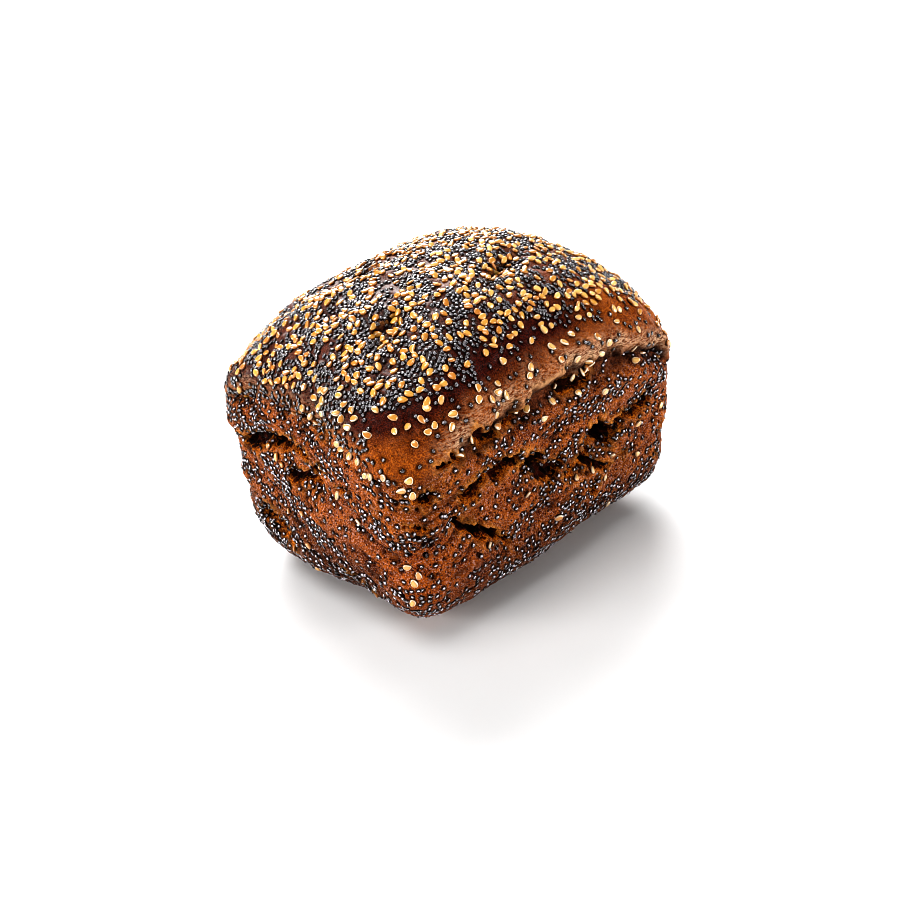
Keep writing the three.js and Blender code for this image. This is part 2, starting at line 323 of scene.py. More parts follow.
# Noises of the seeds' density
SESAME_BORDER = Noise(7.0, 201, 0.3)
SESAME_PATCHES = Noise(9.0, 211)
CHIA_BORDER = Noise(6.0, 221, 0.35)
CHIA_CLUSTERS = Noise(6.0, 231, 1.0, 3)
BAKED_STREAKS = Noise(4.0, 241, 1.0, 3)
BAKED_BORDER = Noise(9.0, 247, 6.0)


def bubbles(points, size, salt):
    """Distance to the nearest of randomly placed bubbles, and a random number of that bubble."""
    p = points / size
    cell = np.floor(p)
    nearest = np.full(len(points), 9.0)
    kind = np.zeros(len(points))
    for step in np.ndindex(3, 3, 3):
        other = cell + step - 1
        middle = other + np.stack([cell_random(other, salt + k) for k in range(3)], 1)
        distance = np.linalg.norm(p - middle, axis=1)
        closer = distance < nearest
        nearest = np.where(closer, distance, nearest)
        kind = np.where(closer, cell_random(other, salt + 3), kind)
    return nearest * size, kind


def ring_point(ring):
    """Point of the unit square's edge at each place round the loaf, and its side."""
    place = np.mod(ring, PLACES_ROUND)
    side = np.minimum(np.floor(place / 2).astype(int), MINUS_Y)
    along = place - 2 * side - 1
    one = np.ones_like(along)
    u = np.choose(side, [one, -along, -one, along])
    v = np.choose(side, [along, one, -along, -one])
    return u, v, side


def ring_of(u, v):
    """Place round the loaf of each point of the unit square."""
    reach = np.maximum(np.maximum(abs(u), abs(v)), 1e-9)
    conditions = [u >= reach, v >= reach, -u >= reach]
    return np.select(conditions, [1 + v / reach, 3 - u / reach, 5 - v / reach], 7 + u / reach)


def rounded_square(u, v, power):
    shrink = (abs(u) ** power + abs(v) ** power) ** (-1 / power)
    return u * shrink, v * shrink


def crease_height(u, v):
    lean_short = 1 + LEAN_SHORT * v * (1 - u) / 2
    lean_long = 1 + LEAN_LONG * u * (1 - v) / 2
    arch = RISE_LONG * (1 - u * u) * lean_long + RISE_SHORT * (1 - v * v) * lean_short
    return CREASE_HEIGHT + arch - CREASE_FALL_X * u - CREASE_FALL_Y * v


def wall_points(u, v, z, inset):
    up = z / crease_height(u, v)
    across, along = rounded_square(u, v, PLAN_BASE + (PLAN_RIM - PLAN_BASE) * up)
    half_length = RIM_LENGTH / 2 - BASE_TAPER_X * (1 - up) - inset
    half_width = RIM_WIDTH / 2 - BASE_TAPER_Y * (1 - up) - inset
    return np.stack([half_length * across, half_width * along, z], 1)


def crown_points(u, v, share):
    spread = (1 - (1 - share) ** SPREAD_AT_RIM) ** SPREAD_AT_TOP
    rise = (1 - spread * spread) ** (1 / CROWN_SECTION_Z)
    across, along = rounded_square(u, v, PLAN_RIM + (PLAN_TOP - PLAN_RIM) * rise)
    x = RIM_LENGTH / 2 * spread ** (2 / CROWN_SECTION_X) * across
    y = RIM_WIDTH / 2 * spread ** (2 / CROWN_SECTION_Y) * along
    tilt = TOP_TILT[0] * x / RIM_LENGTH * 2 + TOP_TILT[1] * y / RIM_WIDTH * 2
    z = crease_height(u, v) * (1 - rise) + LOAF_HEIGHT * rise + rise * tilt
    return np.stack([x + TOP_SHIFT[0] * rise, y + TOP_SHIFT[1] * rise, z], 1)


def smooth_points(ring, level):
    """The crust before any relief."""
    u, v, _ = ring_point(ring)
    angle = np.clip(level, BOTTOM_LEVEL, WALL_LEVEL) * math.pi / 2
    edge_z = BOTTOM_ROUND * (1 - np.cos(angle))
    edge = wall_points(u, v, edge_z, BOTTOM_ROUND * (1 - np.sin(angle)))
    up = np.clip(level - WALL_LEVEL, 0, 1)
    wall_z = BOTTOM_ROUND + (crease_height(u, v) - BOTTOM_ROUND) * up
    wall = wall_points(u, v, wall_z, np.zeros_like(u))
    crown = crown_points(u, v, np.clip(TOP_LEVEL - level, 0, 1))
    level = level[:, None]
    return np.where(level > CREASE_LEVEL, crown, np.where(level > WALL_LEVEL, wall, edge))


def smooth_normals(ring, level):
    step = 0.01
    along = smooth_points(ring + step, level) - smooth_points(ring - step, level)
    low = np.maximum(level - step, BOTTOM_LEVEL)
    high = np.minimum(level + step, TOP_LEVEL)
    up = smooth_points(ring, high) - smooth_points(ring, low)
    normals = np.cross(along, up)
    normals[high >= TOP_LEVEL] = (0, 0, 1)
    return normals / np.maximum(np.linalg.norm(normals, axis=1), 1e-9)[:, None]


def crease_opening(u, v, side):
    """How far the crease is open, from 0 to 1. It is shut at the near corner."""
    near_long = ramp(u, -0.95, -0.6) * (1 - ramp(u, 0.85, 1))
    near_short = ramp(v, -0.8, -0.3) * (1 - ramp(v, 0.8, 1))
    others = 0.8 * (1 - (u * v) ** 6)
    return np.select([side == MINUS_Y, side == MINUS_X], [near_long, near_short], others)


def facing(normals, face):
    """From 0 to 1, how far the crust faces the way that a face does."""
    outward = np.array(FACES[face][0], float)
    return ramp(normals @ outward, 0.2, 0.6)


def hollow_share(points, normals, face, at, half, turn):
    """How deep each point is in one hollow, from 0 outside to 1."""
    _, across, up = FACES[face]
    angle = math.radians(turn)
    x = points[:, across] - at[0]
    y = points[:, up] - at[1]
    along = (x * math.cos(angle) + y * math.sin(angle)) / half[0]
    beside = (y * math.cos(angle) - x * math.sin(angle)) / half[1]
    return facing(normals, face) * np.exp(-np.hypot(along, beside) ** 2)


def wave_relief(points):
    long, middle, short = WAVE_LENGTHS
    x, y, z = points.T
    slow = np.sin(x / long + 1) * np.sin(y / middle + 2)
    quick = np.sin(x / short - z / middle) * np.sin(y / short + 1)
    return WAVE_HEIGHT * (slow + quick + np.sin(z / long + y / middle))


def tear_distance(points, face, route):
    """Distance from each point to a tear's line, seen straight at its face.

    With it goes a number from -1 to 1 that says how far the point is above the line.
    """
    _, across, up = FACES[face]
    p = points[:, (across, up)]
    if len(route) == 1:
        x, y = route[0]
        route = [(x, y), (x + PORE_LENGTH, y)]
    route = np.array(route, float)
    nearest = np.full(len(p), 99.0)
    height = np.zeros(len(p))
    for start, end in zip(route[:-1], route[1:]):
        run = end - start
        rise = np.array((-run[1], run[0])) * np.sign(run[0]) / np.hypot(*run)
        t = np.clip((p - start) @ run / (run @ run), 0, 1)
        offset = p - start - t[:, None] * run
        distance = np.maximum(np.hypot(*offset.T), 1e-6)
        closer = distance < nearest
        nearest = np.where(closer, distance, nearest)
        height = np.where(closer, offset @ rise / distance, height)
    return nearest, height


class Crust:
    """The loaf's surface at many places at once, with the masks that its colours need.

    A mask is a number from 0 to 1 for each place: where a colour, tear or band is, and how strongly.
    """

    def __init__(self, ring, level):
        self.u, self.v, self.side = ring_point(ring)
        self.on_long = self.side == MINUS_Y
        self.on_end = self.side == MINUS_X
        self.level = level
        self.smooth = smooth_points(ring, level)
        self.normals = smooth_normals(ring, level)
        self.above = self.smooth[:, 2] - crease_height(self.u, self.v)
        self.opening = crease_opening(self.u, self.v, self.side)
        self.crown = ramp(self.above + CROWN_BORDER.at(self.smooth), -1.0, 2.5)
        self.by_long = ramp(self.v, -0.5, -1)
        self.by_end = ramp(self.u, -0.5, -1)
        self.band = np.maximum(self.above, 0) / self.bare_band()
        self.flow = self.drawn_points()
        relief = self.crease() + self.hollows() + self.tears() + wave_relief(self.smooth) + self.skin()
        fade = ramp(level, BOTTOM_LEVEL, 0.6)
        self.points = self.smooth + self.normals * (relief * fade)[:, None]
        self.points[:, 2] -= self.droop
        self.colour_masks()

    def near_corner(self, reach):
        """From 1 at the near corner to 0 at the given distance from it, in the unit square."""
        return np.clip(1 - np.hypot(self.u + 1, self.v + 1) / reach, 0, 1)

    def drawn_points(self):
        """Points whose noise runs in long lumps along the drawn dough of the walls."""
        along = self.smooth[:, 0] + self.smooth[:, 1]
        return np.stack([0.35 * along, 0 * along, self.smooth[:, 2] - FLOW_SLOPE * along], 1)

    def colour_masks(self):
        """Where the crust is warmer, darker or ochre."""
        x, _, z = self.smooth.T
        corner = self.near_corner(0.5)
        self.corner = self.near_corner(0.45) * bell_at(self.above, CORNER_BAND)
        self.warm = ramp(self.u, 0.1, 0.7) * ramp(self.v, 0.0, -0.9)
        low_top = 36 + 12 * self.by_end
        low_bottom = 6 + 6 * self.by_end
        self.low = ramp(z, low_top, low_bottom) * (1 - 0.7 * corner)
        self.ember = corner * ramp(z, 48, 28)
        # Where the crown is painted darker towards the left end, as shade.
        self.left_shade = ramp(x + LEFT_SHADE_BORDER.at(self.smooth), 5, -30)
        self.ochre = np.maximum(self.corner, 0.5 * self.by_end * ramp(z, 42, 15))

    def bare_band(self):
        """How far up from the crease the crust has few seeds."""
        corner = self.near_corner(0.5)
        long_extra = 6 + 4 * ramp(self.u, 0.2, 0.8)
        return 9 - 2 * self.by_end + long_extra * self.by_long + 3 * corner

    def crease(self):
        """The groove torn between the wall and the crown, with its rolled lips."""
        p = self.smooth
        pulled = p * DRAWN_UP
        ragged = RAGGED.at(pulled) + RAGGED_FINE.at(p)
        above = self.above + ragged * self.opening
        gap = self.opening * (GAP_SHARE + GAP_DEPTH.at(p)) * np.where(self.on_end, END_GAP, 1.0)
        shelf = bell_at(p[:, 0], SHELF_ALONG) * self.on_long
        reach = GROOVE_BELOW + SHELF_REACH * shelf
        shelf_side = np.exp(-np.abs(above / reach) ** (2 + shelf))
        shape = np.where(above > 0, bell(above / GROOVE_ABOVE), shelf_side)
        cut = (GROOVE_DEEPER + SHELF_DEPTH * shelf) * CREASE_DEPTH * shape
        fibres = FIBRES.at(pulled) * bell_at(above, FIBRE_BAND)
        lips = bell_at(above, LOWER_LIP) + bell_at(above, UPPER_LIP)
        shaded = np.where(self.on_end, END_SHADE, 1.0)
        # Masks of the groove: torn dough painted darker below the crease, partly as shade, and a painted
        # shadow just under the lip.
        self.torn = shaded * gap * np.where(above > 0, bell(above / TORN_ABOVE), shape)
        self.underside_shade = shaded * self.opening * bell_at(above, SHADOW_BAND)
        floury = 0.5 + 0.5 * ramp(FLOURY_PATCHES.at(p), -0.7, 0.5)
        floury *= bell_at(above, FLOURY_BAND) * np.where(self.on_end, END_FLOUR, 1.0)
        self.lip = self.opening * floury
        pale_share = bell_at(p[:, 0], PALE_EDGE_ALONG) * self.on_long + 0.2
        self.edge = self.opening * pale_share * bell_at(above, PALE_EDGE_BAND)
        self.droop = gap * bell_at(above, DROOP_BAND)
        return self.opening * LIP_BULGE * lips + EDGE_BULGE * self.edge - gap * (cut - fibres)

    def hollows(self):
        """Broad dents, shallower on the walls, where the tears add to them."""
        relief = np.zeros(len(self.smooth))
        for face, hollows in HOLLOWS.items():
            share = 1 if face == "+Z" else WALL_HOLLOW_SHARE
            for at, half, turn, depth in hollows:
                relief -= share * depth * hollow_share(self.smooth, self.normals, face, at, half, turn)
        return relief

    def tears(self):
        """Ragged tears: steep under a torn upper edge that hangs over them, sloping out again below."""
        p = self.smooth
        coarse = TEAR_SHAKE.directions(p)
        fine = TEAR_FINE_SHAKE.directions(p)
        warped = p + TEAR_SHAKE.height * coarse + TEAR_FINE_SHAKE.height * fine
        uneven = 1.05 + TEAR_WIDTH.at(p)
        distance, _ = bubbles(p, *TEAR_BUBBLES)
        floor = 0.65 + 0.6 * ramp(distance, 1.9, 0.3)
        relief, self.hollow, self.rim, self.near_tear = np.zeros((4, len(p)))
        for face, (route, width, depth) in ((face, tear) for face in TEARS for tear in TEARS[face]):
            faces_it = facing(self.normals, face)
            away, height = tear_distance(warped, face, route)
            away /= width * uneven * (1.15 - 0.45 * height)
            slope = 0.25 + 0.5 * ramp(-height, 0.2, 0.9)
            share = faces_it * np.clip((1.05 - away) / slope, 0, 1)
            edge = faces_it * bell_at(away, TEAR_EDGE) * (0.35 + 0.65 * ramp(height, -0.6, 0.4))
            relief += 0.7 * edge - 1.15 * depth * floor * ramp(share, 0, 1)
            if face != "+Z":
                self.droop += 0.7 * edge * ramp(height, 0, 0.7)
            # The rim mask carries the painted highlight along the tear's upper edge.
            self.rim = np.maximum(self.rim, edge * (0.6 + 0.4 * fine[:, 1]))
            self.hollow = np.maximum(self.hollow, share * min(1, depth / DEEP_TEAR))
            self.near_tear = np.maximum(self.near_tear, faces_it * bell(away / 3))
        return relief

    def skin(self):
        """Fine relief: open pores and streaks on the walls, faint wrinkles on the crown."""
        p = self.smooth
        wall = 1 - self.crown
        lumps = LUMPS.at(self.flow) + SMALL_LUMPS.at(p)
        distance, kind = bubbles(p, *WALL_PORES)
        radius = 0.35 + kind ** (4.0 - 2.8 * self.near_tear)
        pores = ramp(distance, radius, 0.5 * radius)
        streak = ramp(STREAKS.at(self.flow * DRAWN_ALONG), 0.2, 0.5)
        streak *= ramp(STREAK_PATCHES.at(p), -0.1, 0.5)
        # Mask of the pores and streaks, for the painted shade in them.
        self.pore_shade = wall * np.maximum(pores, 0.8 * streak)
        wrinkles = WRINKLES.at(p) + FINE_WRINKLES.at(p)
        self.fine = ramp(wall * lumps + self.crown * wrinkles, -0.6, 0.6)
        marks = STRETCH_MARKS.at(p * FINE_DRAWN_ALONG)
        marks = marks * bell_at(self.above, STRETCHED_BAND) * self.opening
        self.fine = np.clip(self.fine + 0.5 * marks, 0, 1)
        wrinkles = wrinkles + 0.2 * marks
        wall_relief = BROAD_BANDS.at(self.flow) + lumps - 1.2 * radius * pores - 0.8 * streak
        return wall * wall_relief + self.crown * wrinkles


def crust_places():
    """Places round the loaf and levels of the crust's vertices, and its faces."""
    i, j = np.meshgrid(np.arange(CELLS_X + 1), np.arange(CELLS_Y + 1), indexing="ij")
    u = (2 * i / CELLS_X - 1).ravel()
    v = (2 * j / CELLS_Y - 1).ravel()
    ring = ring_of(u, v)
    level = TOP_LEVEL - CROWN_EDGE * np.maximum(abs(u), abs(v))
    index = i * (CELLS_Y + 1) + j
    corners = [index[:-1, :-1], index[1:, :-1], index[1:, 1:], index[:-1, 1:]]
    quads = [np.stack(corners, -1).reshape(-1, 4)]
    edge = np.concatenate([index[-1, :-1], index[:0:-1, -1], index[0, :0:-1], index[:-1, 0]])
    x_steps = 2 * np.arange(CELLS_X) / CELLS_X
    y_steps = 2 * np.arange(CELLS_Y) / CELLS_Y
    places = np.concatenate([y_steps, 2 + x_steps, 4 + y_steps, 6 + x_steps])
    levels = np.concatenate([
        TOP_LEVEL - np.linspace(CROWN_EDGE, 1, RIM_ROWS + 1)[1:],
        WALL_LEVEL + np.linspace(1, 0, WALL_ROWS + 1)[1:],
        np.linspace(1, 0, EDGE_ROWS + 1)[1:]])
    count = len(places)
    rows = [edge]
    start = len(ring)
    for k in range(len(levels)):
        rows.append(start + k * count + np.arange(count))
    for upper, lower in zip(rows[:-1], rows[1:]):
        quads.append(np.stack([upper, lower, np.roll(lower, -1), np.roll(upper, -1)], 1))
    ring = np.concatenate([ring, np.tile(places, len(levels))])
    level = np.concatenate([level, np.repeat(levels, count)])
    faces = np.concatenate(quads).tolist()
    faces.append(rows[-1][::-1].tolist())
    return ring, level, faces


def add_object(name, data):
    thing = bpy.data.objects.new(name, data)
    bpy.context.scene.collection.objects.link(thing)
    return thing


def mesh_object(name, points_mm, faces, material):
    mesh = bpy.data.meshes.new(name)
    mesh.from_pydata((points_mm * MM).tolist(), [], faces)
    mesh.polygons.foreach_set("use_smooth", np.ones(len(mesh.polygons), bool))
    mesh.materials.append(material)
    mesh.update()
    return add_object(name, mesh)


def add_attribute(thing, name, values):
    attribute = thing.data.attributes.new(name, "FLOAT", "POINT")
    attribute.data.foreach_set("value", np.asarray(values, np.float32))


# Places of the colour sockets in a mix node
COLOUR_A = 6
COLOUR_B = 7
COLOUR_OUT = 2


def colour(item):
    """A colour that is written as the 0 to 255 values seen on a screen, or that nodes make already."""
    if isinstance(item, bpy.types.NodeSocket):
        return item
    linear = [((c / 255 + 0.055) / 1.055) ** 2.4 if c > 10 else c / 255 / 12.92 for c in item]
    return (*linear, 1.0)


class Nodes:
    """Short way to write a material's nodes."""

    def __init__(self, name):
        self.material = bpy.data.materials.new(name)
        self.material.use_nodes = True
        self.tree = self.material.node_tree
        self.shader = self.tree.nodes["Principled BSDF"]

    def feed(self, node, inputs):
        """Links each input, given by its name or number, or sets its value."""
        for key, value in inputs.items():
            if isinstance(value, bpy.types.NodeSocket):
                self.tree.links.new(value, node.inputs[key])
            else:
                node.inputs[key].default_value = value

    def add(self, kind, inputs, output, **settings):
        node = self.tree.nodes.new("ShaderNode" + kind)
        for key, value in settings.items():
            setattr(node, key, value)
        self.feed(node, inputs)
        return node.outputs[output]

    def mask(self, name):
        return self.add("Attribute", {}, "Fac", attribute_name=name)

    def place(self):
        return self.add("TexCoord", {}, "Object")

    def noise(self, size_mm, detail=3.0, rough_share=0.55, stretch=(1, 1, 1)):
        place = self.add("VectorMath", {0: self.place(), 1: stretch}, 0, operation="MULTIPLY")
        inputs = {"Vector": place, "Scale": 1 / (size_mm * MM)}
        return self.add("TexNoise", {**inputs, "Detail": detail, "Roughness": rough_share}, "Fac")

    def cells(self, size_mm):
        inputs = {"Vector": self.place(), "Scale": 1 / (size_mm * MM)}
        return self.add("TexVoronoi", inputs, "Distance")

    def remap(self, value, low, high, new_low=0.0, new_high=1.0):
        inputs = dict(enumerate((value, low, high, new_low, new_high)))
        return self.add("MapRange", inputs, "Result")

    def math(self, operation, a, b):
        return self.add("Math", {0: a, 1: b}, 0, operation=operation)

    def times(self, a, b):
        return self.math("MULTIPLY", a, b)

    def mix(self, share, a, b):
        inputs = {"Factor": share, COLOUR_A: colour(a), COLOUR_B: colour(b)}
        return self.add("Mix", inputs, COLOUR_OUT, data_type="RGBA")

    def paint(self, surface, mask, strength, paint):
        """Lays a paint over the surface where the named mask is, with the given strength."""
        return self.mix(self.times(self.mask(mask), strength), surface, paint)

    def bump(self, height, depth_mm, **below):
        return self.add("Bump", {"Distance": depth_mm * MM, "Height": height, **below}, "Normal")

    def finish(self, **inputs):
        """Feeds the shader, whose input names are written with underlines for their spaces."""
        self.feed(self.shader, {name.replace("_", " "): value for name, value in inputs.items()})
        return self.material


# Colours of the crust. A pair is the colour in the pits and on the heights, darker in the pits as painted
# shade and lighter on the heights as painted light over the crust's own colour, or of two kinds of patch.
CRUMB_PITS = ((80, 13, 2), (62, 10, 2))
CRUMB_HEIGHTS = ((218, 128, 48), (198, 110, 44))
OCHRE = ((76, 28, 4), (144, 78, 24))
EMBER = ((116, 38, 4), (232, 124, 34))
LOW_BROWN = (44, 15, 5)
GLINT_SPECK = (218, 182, 172)
PINHOLE_SHADE = (22, 3, 1)
CROWN_BROWNS = ((136, 70, 44), (88, 36, 22))
CROWN_HEIGHT_HIGHLIGHT = (170, 100, 66)
LEFT_CROWN_SHADE = ((60, 20, 12), (108, 52, 32))
SHOULDER = ((104, 40, 3), (206, 116, 34))
MAROON = ((44, 6, 2), (92, 28, 12))
FLOURY = ((98, 46, 28), (242, 202, 166))
TORN_AND_SHADED = ((34, 13, 6), (128, 70, 40))
UNDER_LIP_SHADOW = (20, 8, 4)
PALE_EDGE_AND_HIGHLIGHT = (216, 164, 116)
TEAR_SIDES = ((122, 48, 3), (240, 142, 36))
CROWN_TEAR_SIDES = (96, 26, 12)
TEAR_RIM_HIGHLIGHT = (250, 172, 82)
TEAR_FLOOR_SHADE = ((6, 1, 1), (74, 24, 5))
CROWN_TEAR_FLOOR_SHADE = (50, 8, 5)
SEED_CONTACT_SHADOW = (14, 3, 1)


def wall_colour(n, height, patches, ochre):
    """The walls' open crumb: darker in its pits as painted shade, orange on its heights partly as painted
    light, specked with painted glints, with pinholes painted dark as shade.
    """
    low = n.mix(patches, *CRUMB_PITS)
    high = n.mix(patches, *CRUMB_HEIGHTS)
    wall = n.mix(height, low, high)
    wall = n.paint(wall, "ochre", 0.7, ochre)
    wall = n.paint(wall, "ember", 0.7, n.mix(height, *EMBER))
    wall = n.paint(wall, "low", 0.7, LOW_BROWN)
    # Sparse pale specks on the crumb: painted glints of light.
    glint_specks = n.remap(n.noise(0.5, 0.0), 0.61, 0.68, 0.0, 0.45)
    wall = n.mix(glint_specks, wall, GLINT_SPECK)
    # Pinholes painted dark as the shade inside them.
    pinholes = n.remap(n.cells(1.2), 0.16, 0.34)
    return n.mix(pinholes, PINHOLE_SHADE, wall)


def crown_colour(n, height, grain, patches, ochre):
    """The crown's baked skin: brown on top, lighter on its heights as painted highlight and darker to the
    left as painted shade, maroon above the shoulder, warm on the shoulder itself.
    """
    top = n.mix(patches, *CROWN_BROWNS)
    # Painted highlight on the heights of the crown's top.
    top = n.mix(n.times(height, 0.6), top, CROWN_HEIGHT_HIGHLIGHT)
    # Painted shade on the left of the crown's top.
    top = n.paint(top, "left_shade", 0.85, n.mix(height, *LEFT_CROWN_SHADE))
    shoulder = n.mix(height, *SHOULDER)
    maroon = n.mix(grain, *MAROON)
    burnt = n.math("SUBTRACT", n.remap(n.mask("band"), 0.4, 0.9), n.mask("warm"))
    crown = n.mix(n.math("MAXIMUM", burnt, 0.0), shoulder, maroon)
    crown = n.mix(n.remap(n.mask("band"), 1.1, 1.8), crown, top)
    return n.paint(crown, "corner", 0.6, ochre)


def groove_colour(n, surface, height):
    """The torn groove under the crown: floury drawn dough on its lip, dark below it partly as painted
    shade, with a painted shadow just under the lip and a pale edge that is partly painted highlight.
    """
    drawn = n.remap(n.noise(0.45, 1.0, 0.6, FINE_DRAWN_ALONG), 0.36, 0.64)
    surface = n.paint(surface, "lip", 0.9, n.mix(drawn, *FLOURY))
    # The torn groove, darker partly as painted shade.
    torn = n.mix(height, *TORN_AND_SHADED)
    surface = n.mix(n.remap(n.mask("torn"), 0.15, 0.55, 0.0, 0.9), surface, torn)
    # Painted shadow just under the lip.
    surface = n.paint(surface, "underside_shade", 0.75, UNDER_LIP_SHADOW)
    # A pale line along the lip's edge, partly painted highlight.
    return n.paint(surface, "edge", 0.7, PALE_EDGE_AND_HIGHLIGHT)


def tear_colour(n, surface, grain):
    """The tears: a rim painted light as highlight, orange sides on the walls and maroon ones on the crown
    that are partly painted light and shade, and a floor painted nearly black as shade, with ragged
    borders.
    """
    ragged = n.times(n.mask("hollow"), n.remap(n.noise(1.0, 2.0), 0.32, 0.68, 0.55, 1.45))
    # Sides of the tears, orange on the walls partly as painted light.
    sides = n.mix(grain, *TEAR_SIDES)
    sides = n.mix(n.mask("crown"), sides, CROWN_TEAR_SIDES)
    surface = n.mix(n.remap(ragged, 0.04, 0.2), surface, sides)
    # Painted highlight along the tears' rims.
    surface = n.paint(surface, "rim", n.remap(grain, 0.0, 0.5, 0.5, 0.95), TEAR_RIM_HIGHLIGHT)
    # Painted shade: the tears' floors nearly black on the walls, dark maroon on the crown.
    floor = n.mix(n.remap(n.noise(2.2, 1.0), 0.46, 0.6), *TEAR_FLOOR_SHADE)
    floor = n.mix(n.mask("crown"), floor, CROWN_TEAR_FLOOR_SHADE)
    return n.mix(n.remap(ragged, 0.3, 0.42, 0.0, 0.98), surface, floor)


def crust_material():
    n = Nodes("crust")
    patches = n.remap(n.noise(14), 0.35, 0.65)
    grain = n.remap(n.noise(0.42, 1.0, 0.6), 0.38, 0.62)
    # Height of the fine relief and of the grain, which also drives the bump: colours mixed by it are
    # darker low down as painted shade and lighter high up as painted light.
    height = n.math("ADD", n.times(n.mask("fine"), 0.35), n.times(grain, 0.65))
    ochre = n.mix(height, *OCHRE)
    wall = wall_colour(n, height, patches, ochre)
    crown = crown_colour(n, height, grain, patches, ochre)
    surface = n.mix(n.mask("crown"), wall, crown)
    surface = groove_colour(n, surface, height)
    surface = tear_colour(n, surface, grain)
    # Painted shade in the pores and streaks of the walls.
    surface = n.paint(surface, "pore_shade", 0.9, PINHOLE_SHADE)
    # Painted contact shadow round each seed.
    surface = n.paint(surface, "seat", n.remap(n.mask("crown"), 0.0, 1.0, 0.9, 0.7), SEED_CONTACT_SHADOW)
    dull = n.remap(n.mask("crown"), 0.0, 1.0, 0.55, 0.36)
    dull = n.math("MAXIMUM", dull, n.times(n.mask("lip"), 0.8))
    glaze = n.times(n.remap(n.mask("band"), 0.9, 1.8), 0.5)
    fine = n.bump(n.remap(n.cells(1.3), 0.05, 0.35), 0.5, Normal=n.bump(grain, 0.35))
    return n.finish(Base_Color=surface, Roughness=dull, Specular_IOR_Level=0.1, Normal=fine,
                    Coat_Weight=glaze, Coat_Roughness=0.32)


# Colours of the sesame seeds. A pair is the darkest and the lightest seed of its kind.
GOLDEN = ((204, 142, 24), (242, 208, 124))
CREAMY = ((214, 154, 48), (242, 216, 150))
TOASTED = (176, 96, 6)
RIM_LINE = (196, 114, 20)
GOLDEN_RIM = (184, 110, 10)
PALE_RIM = (252, 242, 212)
SESAME_UNDERSIDE_SHADE = (170, 96, 8)
SESAME_MOTTLE = (182, 118, 52)


def sesame_material():
    """Glossy golden seeds, and creamy ones with a pale rim and a darker line inside it, all painted
    darker on their undersides as shade.
    """
    n = Nodes("sesame")
    tone = n.mask("tone")
    pale = n.mask("pale")
    golden = n.mix(n.remap(tone, 0.0, 1.0), *GOLDEN)
    creamy = n.mix(n.remap(tone, 0.0, 1.0), *CREAMY)
    body = n.mix(pale, golden, creamy)
    body = n.mix(n.remap(tone, 0.0, 0.14, 0.6, 0.0), body, TOASTED)
    line = n.times(n.remap(n.mask("edge"), 0.35, 0.6), pale)
    body = n.mix(n.times(line, 0.7), body, RIM_LINE)
    rim = n.mix(pale, GOLDEN_RIM, PALE_RIM)
    body = n.mix(n.times(n.remap(n.mask("edge"), 0.62, 0.9), 0.85), body, rim)
    # Painted shade on the seeds' undersides.
    body = n.paint(body, "underside_shade", 0.9, SESAME_UNDERSIDE_SHADE)
    mottle = n.remap(n.noise(0.6, 2), 0.4, 0.7, 0.0, 0.2)
    body = n.mix(mottle, body, SESAME_MOTTLE)
    return n.finish(Base_Color=body, Roughness=0.3, Normal=n.bump(n.noise(0.35, 2), 0.03),
                    Coat_Weight=1.0, Coat_IOR=1.95, Coat_Roughness=0.16)


# Dark seeds: the blackest and the lightest, and the pale grey of the cap, which is partly grey mottling
# and partly painted highlight
STREWN_BLACKS = ((5, 1, 2), (11, 6, 8))
BAKED_BLACKS = ((8, 1, 2), (24, 17, 24))
SEED_CAP_HIGHLIGHT = (232, 222, 232)


def dark_seed_material(name, blacks, roughness, highlight_share):
    """Nearly black glossy seeds with a mottled pale cap, partly grey mottling and partly painted
    highlight, of the given strength.
    """
    n = Nodes(name)
    body = n.mix(n.mask("tone"), *blacks)
    mottle = n.remap(n.noise(0.4, 1), 0.35, 0.55)
    cap_highlight = n.times(n.remap(n.mask("cap_highlight"), 0.34, 0.6), mottle)
    cap_highlight = n.times(cap_highlight, n.remap(n.mask("tone"), 0.0, 0.6, 0.55 * highlight_share, highlight_share))
    body = n.mix(cap_highlight, body, SEED_CAP_HIGHLIGHT)
    return n.finish(Base_Color=body, Roughness=roughness, Specular_IOR_Level=0.3,
                    Coat_Weight=1.0, Coat_IOR=1.85, Coat_Roughness=0.08)


PAPER = ((226, 226, 226), (230, 230, 230))


def floor_material():
    n = Nodes("floor")
    return n.finish(Base_Color=n.mix(n.remap(n.noise(60, 2), 0.3, 0.7), *PAPER), Roughness=0.9)


# Masks that the crust's material reads
CRUST_MASKS = (
    "crown", "band", "corner", "ochre", "ember", "left_shade", "warm", "low",
    "lip", "edge", "torn", "underside_shade", "hollow", "rim", "pore_shade", "fine",
)


def make_crust():
    ring, level, faces = crust_places()
    crust = Crust(ring, level)
    thing = mesh_object("loaf_crust", crust.points, faces, crust_material())
    for name in CRUST_MASKS:
        add_attribute(thing, name, getattr(crust, name))
    return thing, crust


def vertex_normals(thing):
    normals = np.zeros(len(thing.data.vertices) * 3, np.float32)
    thing.data.vertices.foreach_get("normal", normals)
    return normals.reshape(-1, 3).astype(float)


def vertex_areas(thing, count):
    """Crust area that belongs to each vertex; the flat bottom, the last face, counts for nothing."""
    mesh = thing.data
    area = np.zeros(len(mesh.polygons))
    mesh.polygons.foreach_get("area", area)
    loops = np.zeros(len(mesh.loops), int)
    mesh.loops.foreach_get("vertex_index", loops)
    corners = loops[:4 * (len(area) - 1)]
    return np.bincount(corners, np.repeat(area[:-1] / 4, 4), minlength=count) / MM ** 2


